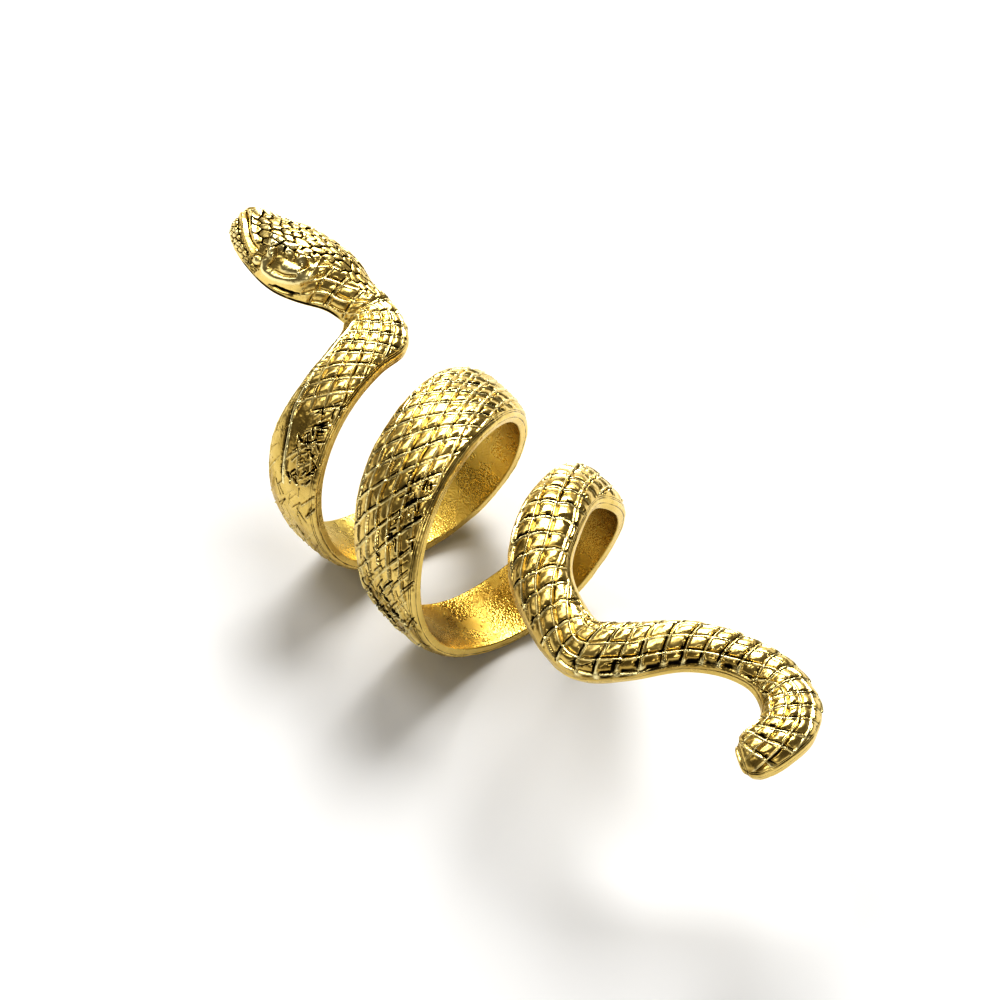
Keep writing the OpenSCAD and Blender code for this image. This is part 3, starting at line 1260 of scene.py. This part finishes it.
def net_piece(name: str, points: Array, normals: Array,
              values: dict[str, Array]) -> bpy.types.Object:
    """Make a closed mesh from a net of points, with a fan of faces at both ends.

    Args:
        name: Name of the piece.
        points: Points in metres, as rows along the piece and columns round it.
        normals: A unit normal for each point.
        values: The surface values for each point, by name.

    Returns:
        The new object.
    """
    rows, cols = points.shape[:2]
    count = rows * cols
    ends = np.array([points[0].mean(axis=0), points[-1].mean(axis=0)])
    verts = np.vstack([points.reshape(-1, 3), ends])
    index = np.arange(count).reshape(rows, cols)
    turned = np.roll(index, -1, axis=1)
    quads = np.stack([index[:-1], index[1:], turned[1:], turned[:-1]], axis=2).reshape(-1, 4)
    first = np.column_stack([index[0], turned[0], np.full(cols, count)])
    final = np.column_stack([turned[-1], index[-1], np.full(cols, count + 1)])
    loops = np.concatenate([quads.ravel(), first.ravel(), final.ravel()])
    sizes = np.concatenate([np.full(len(quads), 4), np.full(2 * cols, 3)])
    starts = np.concatenate([[0], np.cumsum(sizes)[:-1]])
    mesh = bpy.data.meshes.new(name)
    mesh.vertices.add(len(verts))
    mesh.vertices.foreach_set("co", verts.astype(np.float32).ravel())
    mesh.loops.add(len(loops))
    mesh.loops.foreach_set("vertex_index", loops.astype(np.int32))
    mesh.polygons.add(len(sizes))
    mesh.polygons.foreach_set("loop_start", starts.astype(np.int32))
    mesh.update(calc_edges=True)
    mesh.validate()
    mesh.polygons.foreach_set("use_smooth", np.ones(len(sizes), dtype=bool))
    for key, value in values.items():
        flat = np.concatenate([value.ravel(), value[0].mean(keepdims=True), value[-1].mean(keepdims=True)])
        layer = mesh.attributes.new(key, "FLOAT", "POINT")
        layer.data.foreach_set("value", flat.astype(np.float32))
    outward = [points[0].mean(axis=0) - points[1].mean(axis=0),
               points[-1].mean(axis=0) - points[-2].mean(axis=0)]
    outward = [side / max(np.linalg.norm(side), TINY) for side in outward]
    mesh.normals_split_custom_set_from_vertices(np.vstack([normals.reshape(-1, 3), outward]))
    piece = bpy.data.objects.new(name, mesh)
    bpy.context.scene.collection.objects.link(piece)
    return piece


@dataclass(frozen=True)
class Softbox:
    """A square lamp that shines on the ring from one direction."""

    name: str
    azimuth: float
    elevation: float
    distance: float
    size: float
    power: float

    def place(self, target: Vector) -> None:
        """Put the lamp in the scene.

        Args:
            target: The point that it shines on.
        """
        data = bpy.data.lights.new(self.name, "AREA")
        data.size = self.size
        data.energy = self.power
        lamp = bpy.data.objects.new(self.name, data)
        aim(lamp, target, self.azimuth, self.elevation, self.distance)


def aim(thing: bpy.types.Object, target: Vector, azimuth: float, elevation: float,
        distance: float) -> None:
    """Put a lamp or the camera in the scene, turned to the target.

    Args:
        thing: The lamp or camera.
        target: The point that it is turned to.
        azimuth: Degrees round the target, where 0 looks along +Y.
        elevation: Degrees above the level of the target.
        distance: Metres from the target.
    """
    a = math.radians(azimuth)
    e = math.radians(elevation)
    back = Vector((math.sin(a) * math.cos(e), -math.cos(a) * math.cos(e), math.sin(e)))
    thing.location = target + back * distance
    thing.rotation_mode = "QUATERNION"
    thing.rotation_quaternion = back.to_track_quat("Z", "Y")
    bpy.context.scene.collection.objects.link(thing)


@dataclass
class Studio:
    """The pale floor, the lamps and the camera."""

    target: Triple = (-5.15, 3.49, 10.12)
    azimuth: float = 49.0
    elevation: float = 52.15
    distance: float = 2.5
    view_width: float = 82.6
    sensor: float = 36.0
    sees_until: float = 10.0
    floor_half: float = 1.2
    floor_colour: Triple = (0.75, 0.75, 0.75)
    floor_roughness: float = 0.8
    surroundings: float = 0.11
    surroundings_colour: Triple = (1.0, 0.91, 0.74)
    lamps: tuple[Softbox, ...] = (
        Softbox("key", 221, 45, 0.45, 0.23, 2.35),
        Softbox("overhead_left", 285, 66, 0.60, 0.24, 0.8),
        Softbox("front_right", 60, 34, 0.60, 0.16, 0.4),
        Softbox("left_panel", 312, 44, 0.60, 0.24, 0.22),
    )

    def _floor(self) -> None:
        """Lay the floor under the ring."""
        h = self.floor_half
        mesh = bpy.data.meshes.new("floor")
        mesh.from_pydata([(-h, -h, 0), (h, -h, 0), (h, h, 0), (-h, h, 0)], [], [(0, 1, 2, 3)])
        floor = bpy.data.objects.new("floor", mesh)
        material = bpy.data.materials.new("floor_paper")
        material.use_nodes = True
        shader = material.node_tree.nodes["Principled BSDF"]
        shader.inputs["Base Color"].default_value = (*self.floor_colour, 1)
        shader.inputs["Roughness"].default_value = self.floor_roughness
        mesh.materials.append(material)
        bpy.context.scene.collection.objects.link(floor)

    def _camera(self) -> None:
        """Set up the camera at the photo's angle."""
        data = bpy.data.cameras.new("camera")
        data.sensor_width = self.sensor
        data.lens = self.sensor * self.distance / (self.view_width * MM)
        data.clip_end = self.sees_until
        camera = bpy.data.objects.new("camera", data)
        aim(camera, Vector(self.target) * MM, self.azimuth, self.elevation, self.distance)
        bpy.context.scene.camera = camera

    def build(self) -> None:
        """Set up the floor, the world, the lamps and the camera."""
        self._floor()
        world = bpy.data.worlds.new("studio")
        world.use_nodes = True
        shader = world.node_tree.nodes["Background"]
        shader.inputs["Color"].default_value = (*self.surroundings_colour, 1)
        shader.inputs["Strength"].default_value = self.surroundings
        bpy.context.scene.world = world
        for lamp in self.lamps:
            lamp.place(Vector(self.target) * MM)
        self._camera()
        view = bpy.context.scene.view_settings
        view.view_transform = "Standard"
        view.look = "High Contrast"


def main() -> None:
    """Build the ring and its studio."""
    logging.basicConfig(level=logging.INFO, format="%(name)s: %(message)s")
    hole = next(m for m in frame["record"]["mounts"] if m["name"] == "finger_hole")
    route = Route(finger_r=hole["dims"]["r_mm"], rest_h=hole["pos_m"][2] / MM)
    for piece in SnakeRing(route).build():
        LOG.info("%s: %d faces", piece.name, len(piece.data.polygons))
    Studio().build()


if __name__ == "__main__":
    main()
